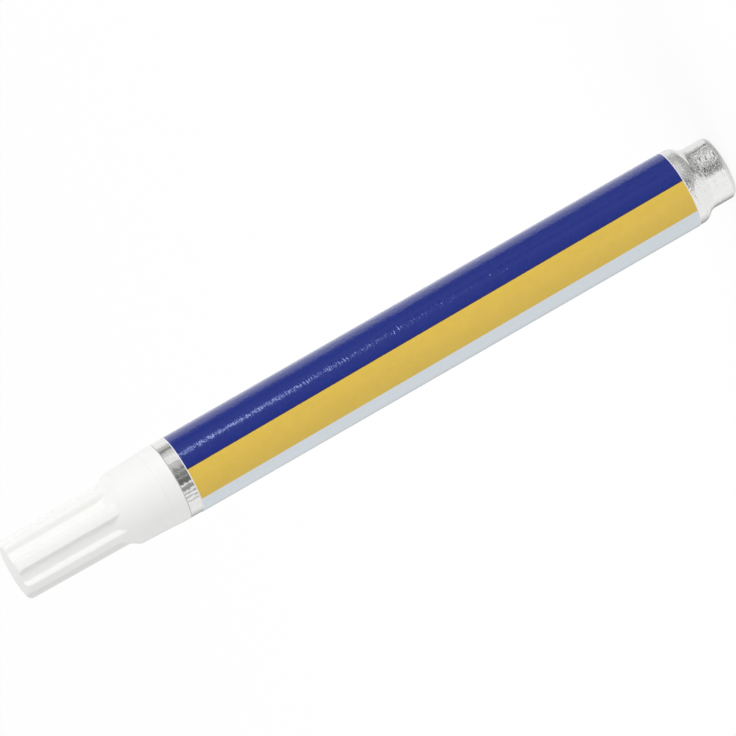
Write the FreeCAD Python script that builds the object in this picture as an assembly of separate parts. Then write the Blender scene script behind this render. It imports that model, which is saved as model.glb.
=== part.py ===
import FreeCAD, Part
import math
import os
from FreeCAD import Vector

# Press-tip solvent pen standing on its flat tail end, with the cap on top
# +Z runs along the axis from the tail to the cap; millimetres and degrees

# Whole pen
TOTAL_H = 147.0
BARREL_R = 7.4
CAP_L = 32.1

# Fits
RUN_CLEAR = 0.05
BOND_GAP = 0.01
STOP_GAP = 0.1
SEAT_GAP = 0.02
CUT_PAST = 1.0

# Barrel: drawn aluminium tube with a swaged, closed tail
CAP_MOUTH_Z = TOTAL_H - CAP_L
BARREL_TOP = CAP_MOUTH_Z - STOP_GAP
WALL = 0.45
BARREL_BORE_R = BARREL_R - WALL
SWAGE_STEP = 1.4
STUB_R = BARREL_R - SWAGE_STEP
STUB_WALL = 0.6
STUB_ROUND = 1.0
TAIL_FLOOR = 0.8
NECK_Z = 5.4
SWAGE_L = 1.4
SHOULDER_Z = NECK_Z + SWAGE_L
SWAGE_ROUND = 2.3
SWAGE_ROUND_IN = 1.9
FRONT_ROUND = 0.2

# Label: thin film wrapped round the barrel, ends meeting at the back
LABEL_T = 0.1
LABEL_OUT_R = BARREL_R + LABEL_T
BARE_TAIL = 1.9
LABEL_Z0 = SHOULDER_Z + BARE_TAIL
BARE_RING = 2.4
LABEL_Z1 = BARREL_TOP - BARE_RING
SEAM_W = 0.3

# Cap: outside
MOUTH_PROUD = 0.05
MOUTH_R = BARREL_R + MOUTH_PROUD
MOUTH_ROUND = 0.15
RIM_W = 2.9
RIM_STEP = 0.06
SKIRT_TAPER = 0.4
SKIRT_TOP_R = MOUTH_R - SKIRT_TAPER
SKIRT_L = 9.8
SKIRT_TOP_Z = CAP_MOUTH_Z + SKIRT_L
SKIRT_ROUND = 1.0
RUNOUT_L = 3.6
RUNOUT_Z = SKIRT_TOP_Z + RUNOUT_L
RUNOUT_ROUND = 1.6
RUNOUT_SINK = 0.12

# Cap: ribbed grip
RIB_COUNT = 7
RIB_FIRST_DEG = 273.2
RIB_CREST_DEG = 16.6
RIB_FLANK_DEG = 7.8
RIB_DEPTH = 0.95
GRIP_STEP = 1.0
CREST_BASE_R = SKIRT_TOP_R - GRIP_STEP
GRIP_TAPER = 0.21
CREST_END_R = CREST_BASE_R - GRIP_TAPER
GRIP_ROOT = 1.9
GRIP_ROOT_Z = SKIRT_TOP_Z - GRIP_ROOT
CAP_END_ROUND = 0.9

# Cap: inside
CAP_WALL = 1.1
CAP_BORE_R = MOUTH_R - CAP_WALL
BORE_DROP = 1.0
CAP_BORE_TOP = SKIRT_TOP_Z - BORE_DROP
GRIP_WALL = 0.59
GRIP_BORE_R = CREST_END_R - RIB_DEPTH - GRIP_WALL
BORE_CONE = 2.0
GRIP_BORE_Z = CAP_BORE_TOP + BORE_CONE
CAP_END_WALL = 1.6
BORE_END_ROUND = 0.3
SEAL_BEAD_H = 0.1
SEAL_BEAD_R = GRIP_BORE_R - SEAL_BEAD_H
SEAL_BEAD_UP = 2.9
SEAL_BEAD_Z = GRIP_BORE_Z + SEAL_BEAD_UP
SEAL_BEAD_W = 1.4
MOUTH_CHAMFER = 0.3

# Nozzle: plug in the barrel, collar in the cap, snout round the nib
PLUG_L = 13.0
PLUG_Z = BARREL_TOP - PLUG_L
PLUG_RELIEF = 0.25
PLUG_R = BARREL_BORE_R - PLUG_RELIEF
PLUG_LAND_R = BARREL_BORE_R - BOND_GAP
PLUG_LEAD = 0.6
LIP_H = 2.0
LAND_W = 1.2
LAND_H = 0.3
LAND_SLOPE = 0.25
PLUG_LAND_1 = 1.5
PLUG_LAND_2 = 6.0
COLLAR_LAND_R = CAP_BORE_R - RUN_CLEAR
COLLAR_R = COLLAR_LAND_R - LAND_H
COLLAR_SINK = 0.5
COLLAR_DROP = 1.0
COLLAR_TOP = CAP_BORE_TOP - COLLAR_DROP
COLLAR_ROUND = 0.4
COLLAR_LAND_1 = 1.0
COLLAR_LAND_2 = 2.4
SNOUT_Z = COLLAR_TOP + BORE_CONE
SNOUT_LAND_R = SEAL_BEAD_R - RUN_CLEAR
SNOUT_R = SNOUT_LAND_R - LAND_H
SNOUT_L = 6.6
SNOUT_TAPER_Z = SNOUT_Z + SNOUT_L
SNOUT_TAPER_L = 3.0
SNOUT_END_Z = SNOUT_TAPER_Z + SNOUT_TAPER_L
SNOUT_END_ROUND = 0.3

# Nib
NIB_R = 2.0
SNOUT_END_WALL = 1.0
SNOUT_END_R = NIB_R + SNOUT_END_WALL
NIB_BARE = 4.6
NIB_TIP_Z = SNOUT_END_Z + NIB_BARE
NIB_TIP_L = 2.4
NIB_TIP_R = 0.9
NIB_L = 20.1
NIB_REAR_ROUND = 0.4
NIB_SIDE_ROUND = 1.2
NIB_TIP_ROUND = 0.7
NIB_REAR_Z = NIB_TIP_Z - NIB_L

# Valve seat and chambers inside the nozzle
NIB_ROOM = 1.2
NIB_CHAMBER_R = NIB_R + NIB_ROOM
NIB_SUNK = 2.5
NIB_CHAMBER_TOP = NIB_REAR_Z + NIB_SUNK
VALVE_ROOM_L = 8.5
WEB_Z = PLUG_Z + VALVE_ROOM_L
WEB_T = 1.5
WEB_TOP = WEB_Z + WEB_T
STEM_R = 1.0
FLOW_GAP = 0.6
WEB_HOLE_R = STEM_R + FLOW_GAP
SEAT_LIP_W = 0.6
SEAT_LIP_R = WEB_HOLE_R + SEAT_LIP_W
SEAT_LIP_H = 0.4
PLUG_WALL = 1.5
CAGE_BORE_R = PLUG_R - PLUG_WALL
CAGE_STEP = 0.6
VALVE_BORE_R = CAGE_BORE_R - CAGE_STEP
VALVE_BORE_ROUND = 0.4
CAGE_SOCKET = 2.2
CAGE_STEP_Z = PLUG_Z + CAGE_SOCKET
CAGE_BEAD_H = 0.2
CAGE_BEAD_W = 0.7

# Valve: stem, washer, spring and cage
STEM_ROUND = 0.3
SEAL_ROUND = 0.2
SEAL_T = 0.9
SEAL_PAST = 0.7
SEAL_R = SEAT_LIP_R + SEAL_PAST
HEAD_PAST = 0.1
HEAD_R = SEAL_R + HEAD_PAST
HEAD_T = 1.2
SPIGOT_STEP = 0.5
SPIGOT_R = STEM_R + SPIGOT_STEP
SPIGOT_H = 1.4
CAGE_L = 6.7
CAGE_Z = CAGE_STEP_Z - CAGE_L
CAGE_FLOOR = 1.2
CAGE_ROUND = 0.3
CAGE_FLANGE = 1.0
CAGE_OUT_R = CAGE_BORE_R - CAGE_FLANGE
CAGE_WALL = 0.8
CAGE_FLANGE_T = 1.2
CAGE_WINDOWS = 4
WINDOW_W = 2.4
WINDOW_H = 2.8
WINDOW_UP = 0.8
WINDOW_Z = CAGE_Z + CAGE_FLOOR + WINDOW_UP
STEM_TAIL = 1.0
SPRING_WIRE_R = 0.2
SPRING_ROOM = 0.7
SPRING_MEAN_R = SPIGOT_R + SPRING_ROOM
SPRING_TURNS = 7

AXIS = Vector(0, 0, 1)
ORIGIN = Vector(0, 0, 0)


def outline(corners):
    """Closed wire in the XZ plane through (radius, height, corner round) corners."""
    count = len(corners)
    points = [Vector(c[0], 0, c[1]) for c in corners]
    marks = []
    for i in range(count):
        here = points[i]
        back = (points[i - 1] - here).normalize()
        ahead = (points[(i + 1) % count] - here).normalize()
        rnd = corners[i][2]
        if rnd == 0:
            marks.append((here, None, here))
            continue
        half = back.getAngle(ahead) / 2
        run = rnd / math.tan(half)
        inward = (back + ahead).normalize()
        centre = here + inward * (rnd / math.sin(half))
        marks.append((here + back * run, centre - inward * rnd, here + ahead * run))
    edges = []
    for i in range(count):
        start, middle, end = marks[i]
        if middle is not None:
            edges.append(Part.Arc(start, middle, end).toShape())
        after = marks[(i + 1) % count][0]
        if (after - end).Length > 1e-6:
            edges.append(Part.makeLine(end, after))
    return Part.Wire(edges)


def turned(corners):
    """Solid of revolution about the pen's axis."""
    solid = Part.Face(outline(corners)).revolve(ORIGIN, AXIS, 360)
    if solid.Volume < 0:
        solid.reverse()
    return solid


def disc(radius, z0, z1):
    """Plain round bar on the axis."""
    return Part.makeCylinder(radius, z1 - z0, Vector(0, 0, z0), AXIS)


def land(root_r, top_r, z0, z1):
    """Raised ring with sloped sides, rooted below the surface that it stands on."""
    foot = root_r - LAND_H
    return turned([
        (foot, z0 - LAND_SLOPE, 0),
        (root_r, z0 - LAND_SLOPE, 0),
        (top_r, z0, 0),
        (top_r, z1, 0),
        (root_r, z1 + LAND_SLOPE, 0),
        (foot, z1 + LAND_SLOPE, 0),
    ])


def polar(radius, deg, z):
    """Point at a radius and angle round the axis."""
    a = math.radians(deg)
    return Vector(radius * math.cos(a), radius * math.sin(a), z)


def along(deg):
    """Unit vector round the axis at an angle."""
    a = math.radians(deg)
    return Vector(-math.sin(a), math.cos(a), 0)


def flank(r0, deg0, r1, deg1, z):
    """Rounded flank between a rib's crest and the hollow beside it."""
    handle = math.radians(RIB_FLANK_DEG) / 3
    curve = Part.BezierCurve()
    first = polar(r0, deg0, z)
    last = polar(r1, deg1, z)
    curve.setPoles([first, first + along(deg0) * (r0 * handle), last - along(deg1) * (r1 * handle), last])
    return curve.toShape()


def ribbed_section(crest_r, z):
    """Closed outline of the ribbed grip at one height."""
    floor_r = crest_r - RIB_DEPTH
    pitch = 360.0 / RIB_COUNT
    crest = RIB_CREST_DEG / 2
    foot = crest + RIB_FLANK_DEG
    edges = []
    for i in range(RIB_COUNT):
        mid = RIB_FIRST_DEG + i * pitch
        gap = mid + pitch / 2
        after = mid + pitch
        edges.append(Part.Arc(polar(crest_r, mid - crest, z), polar(crest_r, mid, z),
                              polar(crest_r, mid + crest, z)).toShape())
        edges.append(flank(crest_r, mid + crest, floor_r, mid + foot, z))
        edges.append(Part.Arc(polar(floor_r, mid + foot, z), polar(floor_r, gap, z),
                              polar(floor_r, after - foot, z)).toShape())
        edges.append(flank(floor_r, after - foot, crest_r, after - crest, z))
    return Part.Wire(edges)


def make_barrel():
    """Tube with a closed swaged tail and a softened front edge."""
    outer = turned([
        (0, 0, 0),
        (STUB_R, 0, STUB_ROUND),
        (STUB_R, NECK_Z, SWAGE_ROUND),
        (BARREL_R, SHOULDER_Z, SWAGE_ROUND),
        (BARREL_R, BARREL_TOP, FRONT_ROUND),
        (0, BARREL_TOP, 0),
    ])
    inner_r = STUB_R - STUB_WALL
    hollow = turned([
        (0, TAIL_FLOOR, 0),
        (inner_r, TAIL_FLOOR, STUB_ROUND / 2),
        (inner_r, NECK_Z + WALL / 2, SWAGE_ROUND_IN),
        (BARREL_BORE_R, SHOULDER_Z + WALL / 2, SWAGE_ROUND_IN),
        (BARREL_BORE_R, BARREL_TOP + CUT_PAST, 0),
        (0, BARREL_TOP + CUT_PAST, 0),
    ])
    return outer.cut(hollow)


def make_label():
    """Film sleeve with a narrow butt seam on the far side."""
    inner_r = BARREL_R + BOND_GAP
    inside = disc(inner_r, LABEL_Z0 - CUT_PAST, LABEL_Z1 + CUT_PAST)
    sleeve = disc(LABEL_OUT_R, LABEL_Z0, LABEL_Z1).cut(inside)
    height = LABEL_Z1 - LABEL_Z0 + 2 * CUT_PAST
    corner = Vector(-SEAM_W / 2, 0, LABEL_Z0 - CUT_PAST)
    seam = Part.makeBox(SEAM_W, LABEL_OUT_R + CUT_PAST, height, corner)
    return sleeve.cut(seam)


def cap_outside():
    """Skirt, shoulder and ribbed grip before hollowing."""
    rim_z = CAP_MOUTH_Z + RIM_W
    taper = (MOUTH_R - SKIRT_TOP_R) / (SKIRT_TOP_Z - CAP_MOUTH_Z)
    rim_r = MOUTH_R - taper * RIM_W
    neck_r = CREST_END_R - RIB_DEPTH - RUNOUT_SINK
    skirt = turned([
        (0, CAP_MOUTH_Z, 0),
        (MOUTH_R, CAP_MOUTH_Z, MOUTH_ROUND),
        (rim_r, rim_z, 0),
        (rim_r - RIM_STEP, rim_z + RIM_STEP, 0),
        (SKIRT_TOP_R, SKIRT_TOP_Z, SKIRT_ROUND),
        (neck_r, RUNOUT_Z, RUNOUT_ROUND),
        (neck_r, RUNOUT_Z + RUNOUT_ROUND, 0),
        (0, RUNOUT_Z + RUNOUT_ROUND, 0),
    ])
    grip = Part.makeLoft([ribbed_section(CREST_BASE_R, GRIP_ROOT_Z), ribbed_section(CREST_END_R, TOTAL_H)],
                         True, True)
    envelope = turned([
        (0, GRIP_ROOT_Z - CUT_PAST, 0),
        (CREST_BASE_R + SEAT_GAP, GRIP_ROOT_Z - CUT_PAST, 0),
        (CREST_END_R + BOND_GAP, TOTAL_H, CAP_END_ROUND),
        (0, TOTAL_H, 0),
    ])
    return skirt.fuse(grip.common(envelope))


def make_cap():
    """Push-on cap with a stepped bore and a sealing bead."""
    end_z = TOTAL_H - CAP_END_WALL
    bead0 = SEAL_BEAD_Z - SEAL_BEAD_W / 2
    bead1 = SEAL_BEAD_Z + SEAL_BEAD_W / 2
    bead_in = GRIP_BORE_R - SEAL_BEAD_R
    hollow = turned([
        (0, CAP_MOUTH_Z - CUT_PAST, 0),
        (CAP_BORE_R + MOUTH_CHAMFER + CUT_PAST, CAP_MOUTH_Z - CUT_PAST, 0),
        (CAP_BORE_R, CAP_MOUTH_Z + MOUTH_CHAMFER, 0),
        (CAP_BORE_R, CAP_BORE_TOP, 0),
        (GRIP_BORE_R, GRIP_BORE_Z, 0),
        (GRIP_BORE_R, bead0, 0),
        (SEAL_BEAD_R, bead0 + bead_in, 0),
        (SEAL_BEAD_R, bead1 - bead_in, 0),
        (GRIP_BORE_R, bead1, 0),
        (GRIP_BORE_R, end_z, BORE_END_ROUND),
        (0, end_z, 0),
    ])
    return cap_outside().cut(hollow)


def nozzle_outside():
    """Plug, collar and snout with their sealing lands."""
    body = turned([
        (0, PLUG_Z, 0),
        (PLUG_R - PLUG_LEAD, PLUG_Z, 0),
        (PLUG_R, PLUG_Z + PLUG_LEAD, 0),
        (PLUG_R, BARREL_TOP - COLLAR_SINK, 0),
        (COLLAR_R, BARREL_TOP - COLLAR_SINK, 0),
        (COLLAR_R, COLLAR_TOP, COLLAR_ROUND),
        (SNOUT_R, SNOUT_Z, 0),
        (SNOUT_R, SNOUT_TAPER_Z, 0),
        (SNOUT_END_R, SNOUT_END_Z, SNOUT_END_ROUND),
        (0, SNOUT_END_Z, 0),
    ])
    lip = turned([
        (COLLAR_R - COLLAR_SINK, BARREL_TOP - LIP_H, 0),
        (PLUG_LAND_R, BARREL_TOP - LIP_H, 0),
        (PLUG_LAND_R, BARREL_TOP, FRONT_ROUND),
        (COLLAR_R - COLLAR_SINK, BARREL_TOP, 0),
    ])
    plug_1 = PLUG_Z + PLUG_LAND_1
    plug_2 = PLUG_Z + PLUG_LAND_2
    collar_1 = BARREL_TOP + COLLAR_LAND_1
    collar_2 = COLLAR_TOP - COLLAR_LAND_2
    lands = [
        lip,
        land(PLUG_R, PLUG_LAND_R, plug_1, plug_1 + LAND_W),
        land(PLUG_R, PLUG_LAND_R, plug_2, plug_2 + LAND_W),
        land(COLLAR_R, COLLAR_LAND_R, collar_1, collar_1 + LAND_W),
        land(COLLAR_R, COLLAR_LAND_R, collar_2, collar_2 + LAND_W),
        land(SNOUT_R, SNOUT_LAND_R, SEAL_BEAD_Z - LAND_W / 2, SEAL_BEAD_Z + LAND_W / 2),
    ]
    return body.multiFuse(lands)


def make_nozzle():
    """Nib holder with the nib bore, the valve seat and the socket for the cage."""
    front = disc(NIB_R + RUN_CLEAR, NIB_CHAMBER_TOP - CUT_PAST, SNOUT_END_Z + CUT_PAST)
    chamber = disc(NIB_CHAMBER_R, WEB_TOP, NIB_CHAMBER_TOP)
    hole = disc(WEB_HOLE_R, WEB_Z - CUT_PAST, WEB_TOP + CUT_PAST)
    bead_z = PLUG_Z + CAGE_BEAD_W
    rear = turned([
        (0, PLUG_Z - CUT_PAST, 0),
        (CAGE_BORE_R, PLUG_Z - CUT_PAST, 0),
        (CAGE_BORE_R, PLUG_Z, 0),
        (CAGE_BORE_R - CAGE_BEAD_H, PLUG_Z + CAGE_BEAD_W / 2, 0),
        (CAGE_BORE_R, bead_z, 0),
        (CAGE_BORE_R, CAGE_STEP_Z, 0),
        (VALVE_BORE_R, CAGE_STEP_Z, 0),
        (VALVE_BORE_R, WEB_Z, VALVE_BORE_ROUND),
        (0, WEB_Z, 0),
    ])
    lip = disc(SEAT_LIP_R, WEB_Z - SEAT_LIP_H, WEB_TOP)
    bored = nozzle_outside().cut(rear).fuse(lip)
    return bored.cut(hole).cut(chamber).cut(front)


def make_nib():
    """Bullet-pointed fibre nib."""
    return turned([
        (0, NIB_REAR_Z, 0),
        (NIB_R, NIB_REAR_Z, NIB_REAR_ROUND),
        (NIB_R, NIB_TIP_Z - NIB_TIP_L, NIB_SIDE_ROUND),
        (NIB_TIP_R, NIB_TIP_Z, NIB_TIP_ROUND),
        (0, NIB_TIP_Z, 0),
    ])


def seal_top():
    """Height of the washer's sealing face with the valve shut."""
    return WEB_Z - SEAT_LIP_H - SEAT_GAP


def head_top():
    """Height of the stem head's upper face."""
    return seal_top() - SEAL_T


def spring_top():
    """Height where the spring meets the stem head."""
    return head_top() - HEAD_T


def make_stem():
    """Plunger: push rod, head, spring spigot and guide tail."""
    return turned([
        (0, CAGE_Z - STEM_TAIL, 0),
        (STEM_R, CAGE_Z - STEM_TAIL, STEM_ROUND),
        (STEM_R, spring_top() - SPIGOT_H, 0),
        (SPIGOT_R, spring_top() - SPIGOT_H, STEM_ROUND),
        (SPIGOT_R, spring_top(), 0),
        (HEAD_R, spring_top(), STEM_ROUND),
        (HEAD_R, head_top(), 0),
        (STEM_R, head_top(), 0),
        (STEM_R, NIB_REAR_Z, STEM_ROUND),
        (0, NIB_REAR_Z, 0),
    ])


def make_seal():
    """Rubber washer on the stem."""
    inner_r = STEM_R + BOND_GAP
    return turned([
        (inner_r, head_top(), 0),
        (SEAL_R, head_top(), SEAL_ROUND),
        (SEAL_R, seal_top(), SEAL_ROUND),
        (inner_r, seal_top(), 0),
    ])


def make_cage():
    """Slotted spring cup with a snap flange."""
    flange_top = CAGE_STEP_Z - SEAT_GAP
    flange_z = flange_top - CAGE_FLANGE_T
    cup = turned([
        (0, CAGE_Z, 0),
        (CAGE_OUT_R, CAGE_Z, CAGE_ROUND),
        (CAGE_OUT_R, flange_z, 0),
        (CAGE_BORE_R - BOND_GAP, flange_z, CAGE_ROUND),
        (CAGE_BORE_R - BOND_GAP, flange_top, CAGE_ROUND),
        (CAGE_OUT_R - CAGE_WALL, flange_top, 0),
        (CAGE_OUT_R - CAGE_WALL, CAGE_Z + CAGE_FLOOR, 0),
        (0, CAGE_Z + CAGE_FLOOR, 0),
    ])
    guide = disc(STEM_R + RUN_CLEAR, CAGE_Z - CUT_PAST, CAGE_Z + CAGE_FLOOR + CUT_PAST)
    cup = cup.cut(guide)
    for i in range(CAGE_WINDOWS):
        corner = Vector(CAGE_OUT_R - 2 * CAGE_WALL, -WINDOW_W / 2, WINDOW_Z)
        window = Part.makeBox(3 * CAGE_WALL, WINDOW_W, WINDOW_H, corner)
        window.rotate(ORIGIN, AXIS, i * 360.0 / CAGE_WINDOWS)
        cup = cup.cut(window)
    return cup


def make_spring():
    """Coil spring between the cage floor and the stem head."""
    base = CAGE_Z + CAGE_FLOOR + SPRING_WIRE_R + SEAT_GAP
    height = spring_top() - SEAT_GAP - SPRING_WIRE_R - base
    helix = Part.makeHelix(height / SPRING_TURNS, height, SPRING_MEAN_R)
    section = Part.Wire([Part.makeCircle(SPRING_WIRE_R, Vector(SPRING_MEAN_R, 0, 0), Vector(0, 1, 0))])
    coil = Part.Wire(helix.Edges).makePipeShell([section], True, True)
    coil.translate(Vector(0, 0, base))
    return coil


os.makedirs("parts", exist_ok=True)

cap = make_cap()
cap.exportStep("parts/cap.step")

barrel = make_barrel()
barrel.exportStep("parts/barrel.step")

label = make_label()
label.exportStep("parts/label.step")

nozzle = make_nozzle()
nozzle.exportStep("parts/nozzle.step")

nib = make_nib()
nib.exportStep("parts/nib.step")

valve_stem = make_stem()
valve_stem.exportStep("parts/valve_stem.step")

valve_seal = make_seal()
valve_seal.exportStep("parts/valve_seal.step")

valve_spring = make_spring()
valve_spring.exportStep("parts/valve_spring.step")

valve_cage = make_cage()
valve_cage.exportStep("parts/valve_cage.step")
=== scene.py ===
"""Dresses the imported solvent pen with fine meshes, finishes, a camera and a plain studio."""

import logging
import math
from dataclasses import dataclass
from enum import Enum
from functools import partial
from typing import Callable, Optional, Union

import bpy
from mathutils import Matrix, Vector


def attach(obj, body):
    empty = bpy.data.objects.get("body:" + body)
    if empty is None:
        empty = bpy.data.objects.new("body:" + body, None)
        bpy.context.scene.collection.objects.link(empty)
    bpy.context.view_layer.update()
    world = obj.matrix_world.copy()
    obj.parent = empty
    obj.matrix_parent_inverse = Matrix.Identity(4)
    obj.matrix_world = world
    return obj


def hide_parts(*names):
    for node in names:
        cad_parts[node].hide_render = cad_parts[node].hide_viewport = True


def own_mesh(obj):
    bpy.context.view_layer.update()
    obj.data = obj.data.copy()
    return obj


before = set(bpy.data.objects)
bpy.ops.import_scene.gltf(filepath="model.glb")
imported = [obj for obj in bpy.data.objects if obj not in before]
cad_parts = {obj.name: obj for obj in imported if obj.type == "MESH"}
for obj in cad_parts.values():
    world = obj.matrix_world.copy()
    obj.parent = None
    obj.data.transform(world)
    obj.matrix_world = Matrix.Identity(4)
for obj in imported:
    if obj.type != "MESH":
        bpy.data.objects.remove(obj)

LOG = logging.getLogger("solvent_pen")
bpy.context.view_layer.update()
MM = 0.001

Corner = tuple[float, float, float]
Corners = tuple[Corner, ...]
Point = tuple[float, float]
Span = tuple[float, float]
Place = tuple[float, float, float]
Ring = list[Place]
Face = tuple[int, ...]
Colour = tuple[float, float, float, float]
Object = bpy.types.Object
Material = bpy.types.Material
Node = bpy.types.Node
Socket = bpy.types.NodeSocket
Feed = Union[Socket, float, tuple]

# Heights that several pieces use, and the form of a raised ring, in millimetres
BARREL_TOP = 114.8
WRAP_LOW = 8.7
WRAP_HIGH = 112.4
RIDGE_SLOPE = 0.25
RIDGE_FOOT = 0.08
RIDGE_CROWN = 0.06

# Height on the axis that the camera and most lamps face, in metres
VIEW_Z = 0.0738


class Body(Enum):
    """Bodies of the pen that pieces ride on."""

    BARREL = "body"
    CAP = "cap"
    TIP = "tip"


class Slot(Enum):
    """Material slots that the pieces' finishes belong to."""

    CAP = "cap_white"
    BARREL = "barrel_aluminium"
    WRAP = "label_film"
    NOZZLE = "nozzle_white"
    NIB = "nib_fibre"
    SPRING = "spring_steel"


def rgb(red: int, green: int, blue: int) -> Colour:
    """Scene-linear colour of an 8-bit screen colour.

    Args:
        red: Red level, 0 to 255.
        green: Green level, 0 to 255.
        blue: Blue level, 0 to 255.

    Returns:
        The colour with an alpha of one.
    """
    def linear(level: int) -> float:
        """Scene-linear value of one level."""
        share = level / 255
        return share / 12.92 if share <= 0.04045 else ((share + 0.055) / 1.055) ** 2.4

    return (linear(red), linear(green), linear(blue), 1.0)


def grey(level: float) -> Colour:
    """Neutral colour of a scene-linear level."""
    return (level, level, level, 1.0)


def darker(colour: Colour, share: float) -> Colour:
    """Colour at a share of its brightness."""
    return (colour[0] * share, colour[1] * share, colour[2] * share, 1.0)


def about(middle: float, half: float) -> Span:
    """Span of a half width about a value."""
    return (middle - half, middle + half)


def smoothstep(value: float) -> float:
    """Eased step from 0 to 1 over the unit interval."""
    share = min(1.0, max(0.0, value))
    return share * share * (3 - 2 * share)


def soft_max(a: float, b: float, blend: float) -> float:
    """Larger of two values, with a fillet as wide as the blend where they meet."""
    share = min(1.0, max(0.0, 0.5 + 0.5 * (a - b) / blend))
    return b + (a - b) * share + blend * share * (1 - share)


def soft_min(a: float, b: float, blend: float) -> float:
    """Smaller of two values, with a rounded edge as wide as the blend where they meet."""
    return -soft_max(-a, -b, blend)


# Meshes


@dataclass(frozen=True)
class Outline:
    """Half section of a turned piece, as (radius, height, round) corners in millimetres."""

    corners: Corners
    closed: bool = False
    arc_step: float = 9.0

    def arc(self, i: int) -> list[Point]:
        """Rounds one corner.

        Args:
            i: Number of the corner.

        Returns:
            (radius, height) points of its arc in millimetres.
        """
        radius, height, rnd = self.corners[i]
        here = Vector((radius, height))
        back = (Vector(self.corners[i - 1][:2]) - here).normalized()
        ahead = (Vector(self.corners[(i + 1) % len(self.corners)][:2]) - here).normalized()
        half = back.angle(ahead) / 2
        centre = here + (back + ahead).normalized() * (rnd / math.sin(half))
        start = here + back * (rnd / math.tan(half)) - centre
        sweep = math.pi - 2 * half
        turn = 1 if start.y * back.x - start.x * back.y > 0 else -1
        steps = max(2, round(math.degrees(sweep) / self.arc_step))
        made: list[Point] = []
        for k in range(steps + 1):
            angle = turn * sweep * k / steps
            x = start.x * math.cos(angle) - start.y * math.sin(angle)
            y = start.x * math.sin(angle) + start.y * math.cos(angle)
            made.append((centre.x + x, centre.y + y))
        return made

    def points(self) -> list[Point]:
        """Runs the section with its corner rounds.

        Returns:
            (radius, height) points in millimetres.
        """
        last = len(self.corners) - 1
        made: list[Point] = []
        for i, (radius, height, rnd) in enumerate(self.corners):
            open_end = not self.closed and i in (0, last)
            made += [(radius, height)] if rnd == 0 or open_end else self.arc(i)
        return made


def radius_on(section: list[Point], height: float) -> float:
    """Radius of a rising section at a height.

    Args:
        section: (radius, height) points in millimetres.
        height: Height in millimetres.

    Returns:
        Radius in millimetres; above the section, its last one.
    """
    for (r0, z0), (r1, z1) in zip(section, section[1:]):
        if z0 <= height <= z1 and z1 > z0:
            return r0 + (r1 - r0) * (height - z0) / (z1 - z0)
    return section[-1][0]


def ring_at(radius: Callable[[float], float], height: float, segments: int) -> Ring:
    """One ring of points round the pen's axis.

    Args:
        radius: Radius in millimetres at an angle in radians.
        height: Height in millimetres.
        segments: Points round the ring.

    Returns:
        Places in metres.
    """
    made = []
    for i in range(segments):
        angle = 2 * math.pi * i / segments
        reach = radius(angle) * MM
        made.append((reach * math.cos(angle), reach * math.sin(angle), height * MM))
    return made


def round_ring(radius: float, height: float, segments: int) -> Ring:
    """Ring of one radius in millimetres, or a single point where that is nothing."""
    return ring_at(lambda _: radius, height, segments) if radius else [(0.0, 0.0, height * MM)]


def finished_mesh(name: str, places: list[Place], faces: list[Face], crease: float = 32.0) -> Object:
    """Makes a smooth-shaded object with creased edges.

    Args:
        name: Name of the piece.
        places: Vertices in metres.
        faces: Vertex numbers of each face.
        crease: Angle in degrees above which an edge stays sharp.

    Returns:
        The linked object.
    """
    mesh = bpy.data.meshes.new(name)
    mesh.from_pydata(places, [], faces)
    mesh.update()
    mesh.shade_smooth()
    mesh.set_sharp_from_angle(angle=math.radians(crease))
    piece = bpy.data.objects.new(name, mesh)
    bpy.context.scene.collection.objects.link(piece)
    return piece


def skin(name: str, rings: list[Ring], closed: bool = False) -> Object:
    """Skins rings of points into a mesh; a ring of one point is a pole.

    Args:
        name: Name of the piece.
        rings: Rings in order along the section.
        closed: Whether the last ring joins the first.

    Returns:
        The piece.
    """
    places: list[Place] = []
    starts: list[tuple[int, int]] = []
    for ring in rings:
        starts.append((len(places), len(ring)))
        places.extend(ring)
    pairs = list(zip(starts, starts[1:]))
    if closed:
        pairs.append((starts[-1], starts[0]))
    faces: list[Face] = []
    for (a, count_a), (b, count_b) in pairs:
        count = max(count_a, count_b)
        for i in range(count):
            j = (i + 1) % count
            if count_a == 1:
                faces.append((a, b + j, b + i))
            elif count_b == 1:
                faces.append((a + i, a + j, b))
            else:
                faces.append((a + i, a + j, b + j, b + i))
    return finished_mesh(name, places, faces)


def swept(name: str, sections: list[Ring], crease: float) -> Object:
    """Joins equal closed sections along a path, and closes its two ends.

    Args:
        name: Name of the piece.
        sections: Sections in order along the path.
        crease: Angle in degrees above which an edge stays sharp.

    Returns:
        The piece.
    """
    count = len(sections[0])
    places = [place for section in sections for place in section]
    faces: list[Face] = []
    for a in range(0, len(places) - count, count):
        b = a + count
        for k in range(count):
            n = (k + 1) % count
            faces.append((a + n, a + k, b + k, b + n))
    faces.append(tuple(range(count)))
    faces.append(tuple(reversed(range(len(places) - count, len(places)))))
    return finished_mesh(name, places, faces, crease)


def turned(name: str, outline: Outline, segments: int) -> Object:
    """Turns an outline round the pen's axis.

    Args:
        name: Name of the piece.
        outline: Half section of the piece.
        segments: Points round each ring.

    Returns:
        The piece.
    """
    rings = [round_ring(radius, height, segments) for radius, height in outline.points()]
    return skin(name, rings, outline.closed)


# Finishes


@dataclass(frozen=True)
class Grain:
    """Noise over a piece: cells per millimetre, octaves, weight of the finer ones, stretch and twist.

    The span is the range of its values that a finish uses, and the depth its relief in millimetres.
    """

    scale: float
    detail: float = 3.0
    rough: float = 0.55
    stretch: Optional[Place] = None
    twist: float = 0.0
    span: Span = (0.3, 0.7)
    depth: float = 0.0


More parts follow.
